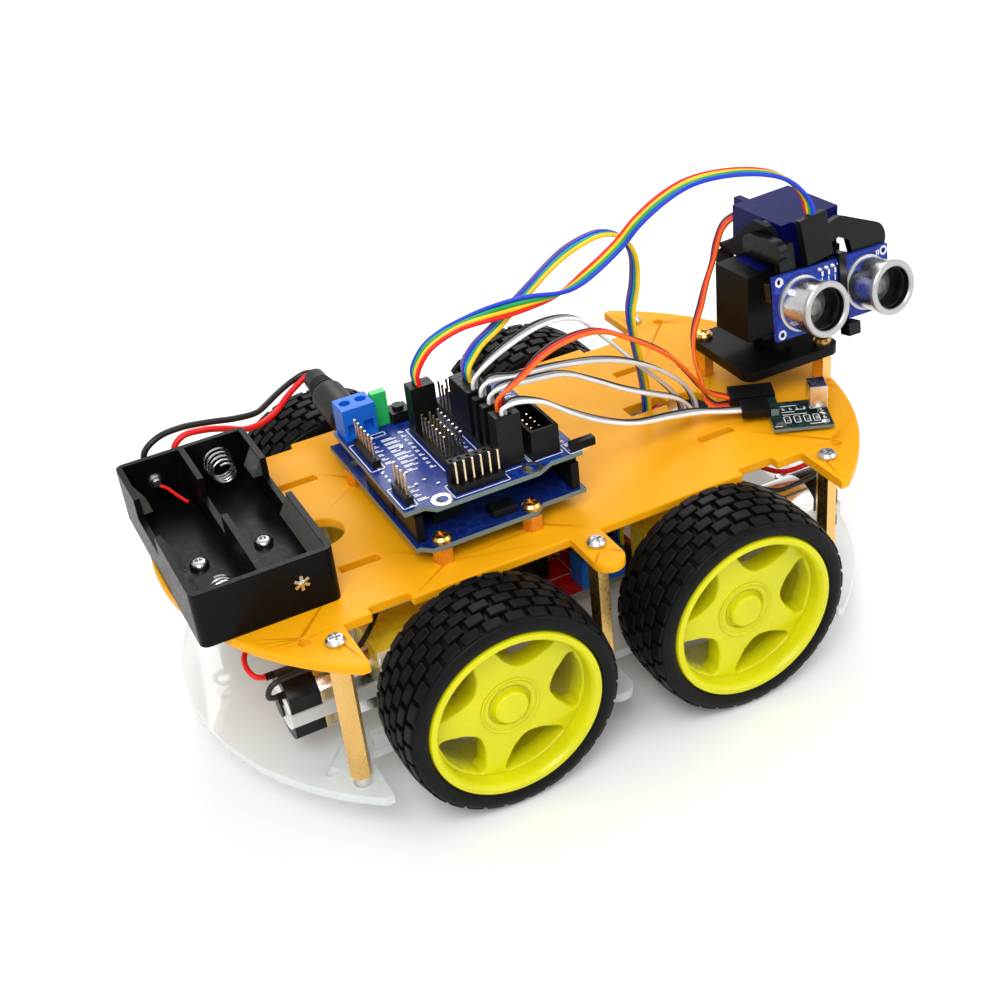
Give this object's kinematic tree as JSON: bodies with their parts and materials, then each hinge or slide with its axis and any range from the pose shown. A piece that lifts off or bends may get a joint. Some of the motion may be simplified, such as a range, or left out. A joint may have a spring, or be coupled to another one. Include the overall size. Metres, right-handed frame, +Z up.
{
  "type": "wheeled robot chassis",
  "caption": "Wheeled robot chassis with two decks, geared wheels, a controller with a sensor shield, a battery box and a pan and tilt ultrasonic head.",
  "frame": {"origin": "on the ground under the middle of the whole part without its leads; the decks' middle is 10 mm behind it", "axes": "+X forward, towards the sensor head; +Y to the robot's left; +Z up"},
  "size_m": [0.2393, 0.152, 0.1387],
  "materials": {
    "clear_acrylic": "clear gloss",
    "orange_acrylic": "translucent gloss",
    "brass": "satin",
    "plated_steel": "plated, satin",
    "yellow_plastic": "semi-gloss",
    "black_plastic": "semi-gloss",
    "clear_strip": "translucent",
    "red_board": "solder mask",
    "blue_board": "solder mask",
    "black_board": "solder mask",
    "gold_pin": "polished",
    "blue_terminal": "semi-gloss",
    "white_plastic": "matte",
    "blue_plastic": "translucent gloss",
    "coloured_wire": "satin",
    "red_wire": "satin",
    "grey_wire": "satin",
    "rubber": "matte",
    "lime_plastic": "gloss"
  },
  "bodies": {
    "chassis": {"lower_plate": "clear_acrylic", "upper_plate": "orange_acrylic", "deck_standoffs": "brass", "deck_screws": "plated_steel", "motor_brackets": "clear_acrylic", "motor_fasteners": "plated_steel", "gearbox_shells": "yellow_plastic", "motor_cans": "plated_steel", "motor_end_caps": "black_plastic", "motor_straps": "clear_strip", "driver_board": "red_board", "driver_parts": "black_plastic", "controller_board": "blue_board", "controller_sockets": "black_plastic", "controller_ports": "plated_steel", "board_fasteners": "brass", "shield_board": "blue_board", "shield_headers": "black_plastic", "shield_pins": "gold_pin", "shield_terminal": "blue_terminal", "reset_switch": "black_plastic", "jumper_housings": "black_plastic", "battery_box": "black_plastic", "battery_contacts": "plated_steel", "dc_plug": "black_plastic", "gimbal_base": "black_plastic", "pan_horn": "white_plastic", "ir_board": "black_board", "ir_receiver": "plated_steel", "line_sensors": "blue_board", "deck_connectors": "black_plastic", "sensor_ribbon": "coloured_wire", "driver_ribbon": "coloured_wire", "servo_lead": "red_wire", "servo_extension": "red_wire", "ir_cable": "grey_wire", "line_cables": "grey_wire", "battery_leads": "red_wire", "motor_leads": "red_wire"},
    "wheel_front_left": {"tyre_front_left": "rubber", "rim_front_left": "lime_plastic", "shaft_front_left": "white_plastic"},
    "wheel_front_right": {"tyre_front_right": "rubber", "rim_front_right": "lime_plastic", "shaft_front_right": "white_plastic"},
    "wheel_rear_left": {"tyre_rear_left": "rubber", "rim_rear_left": "lime_plastic", "shaft_rear_left": "white_plastic"},
    "wheel_rear_right": {"tyre_rear_right": "rubber", "rim_rear_right": "lime_plastic", "shaft_rear_right": "white_plastic"},
    "pan_head": {"turret": "black_plastic", "pan_servo": "blue_plastic", "tilt_servo": "blue_plastic"},
    "tilt_head": {"sensor_cradle": "black_plastic", "sonar_board": "blue_board", "sonar_cans": "plated_steel", "zip_tie": "black_plastic", "sonar_plug": "black_plastic"},
    "button": {"reset_button": "black_plastic"}
  },
  "joints": [
    {"name": "drive_front_left", "type": "hinge", "parent": "chassis", "child": "wheel_front_left", "pos_m": [0.028, 0.0361, 0.0325], "axis": [0, 1, 0], "continuous": true},
    {"name": "drive_front_right", "type": "hinge", "parent": "chassis", "child": "wheel_front_right", "pos_m": [0.028, -0.0361, 0.0325], "axis": [0, 1, 0], "continuous": true},
    {"name": "drive_rear_left", "type": "hinge", "parent": "chassis", "child": "wheel_rear_left", "pos_m": [-0.048, 0.0361, 0.0325], "axis": [0, 1, 0], "continuous": true},
    {"name": "drive_rear_right", "type": "hinge", "parent": "chassis", "child": "wheel_rear_right", "pos_m": [-0.048, -0.0361, 0.0325], "axis": [0, 1, 0], "continuous": true},
    {"name": "pan", "type": "hinge", "parent": "chassis", "child": "pan_head", "pos_m": [0.0815, -0.004, 0.0801], "axis": [0, 0, 1], "range_deg": [-5, 175], "deforming": ["sensor_ribbon", "servo_lead"]},
    {"name": "tilt", "type": "hinge", "parent": "pan_head", "child": "tilt_head", "pos_m": [0.07752, -0.00435, 0.1088], "axis": [-0.9962, -0.0872, 0], "range_deg": [-10, 42], "deforming": ["sensor_ribbon"]},
    {"name": "reset_press", "type": "slide", "parent": "chassis", "child": "button", "axis": [0, 0, -1], "range_m": [0, 0.0004], "stiffness_N_per_m": 12}
  ]
}
